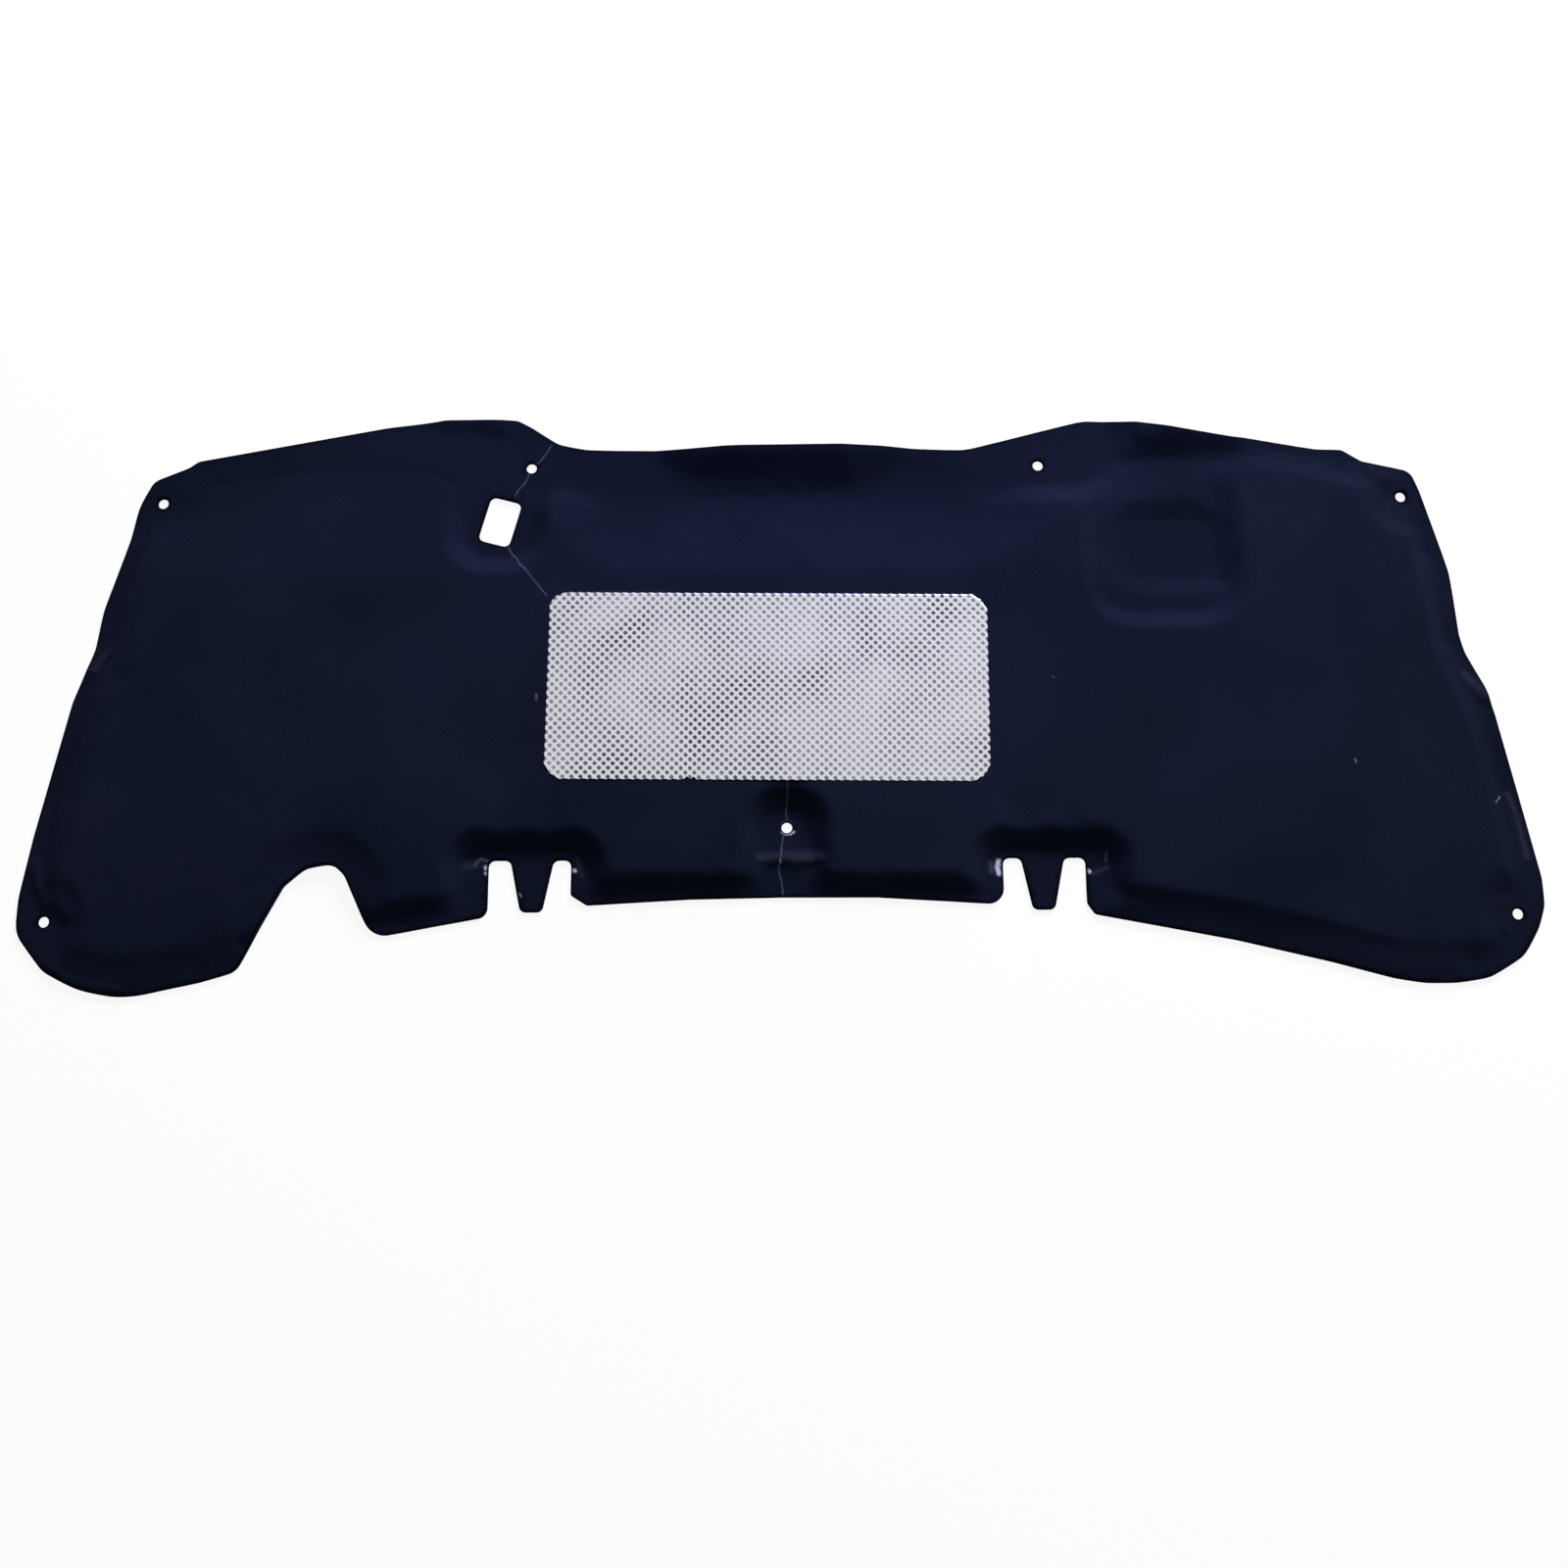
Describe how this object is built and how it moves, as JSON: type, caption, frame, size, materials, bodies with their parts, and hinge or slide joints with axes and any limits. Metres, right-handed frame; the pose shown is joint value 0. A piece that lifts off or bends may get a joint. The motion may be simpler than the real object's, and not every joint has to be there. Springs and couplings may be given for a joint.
{
  "type": "hood insulation pad",
  "caption": "Moulded felt hood pad with a raised body, thin pressed rim, clip holes, window, hose notches, stepped pocket and a stamped foil heat shield.",
  "frame": {"origin": "middle of the footprint, on the plane that the pressed rim rests on", "axes": "+X along the pad to the right seen from its face, +Y towards the hood's front edge, +Z out of the face"},
  "size_m": [1.4, 0.559, 0.0198],
  "materials": {
    "felt": "matt black-blue nonwoven facing on pressed felt",
    "foil": "bright foil stamped with a fine diamond lattice"
  },
  "bodies": {
    "root": {"insulation_pad": "felt", "foil_shield": "foil"}
  },
  "joints": []
}
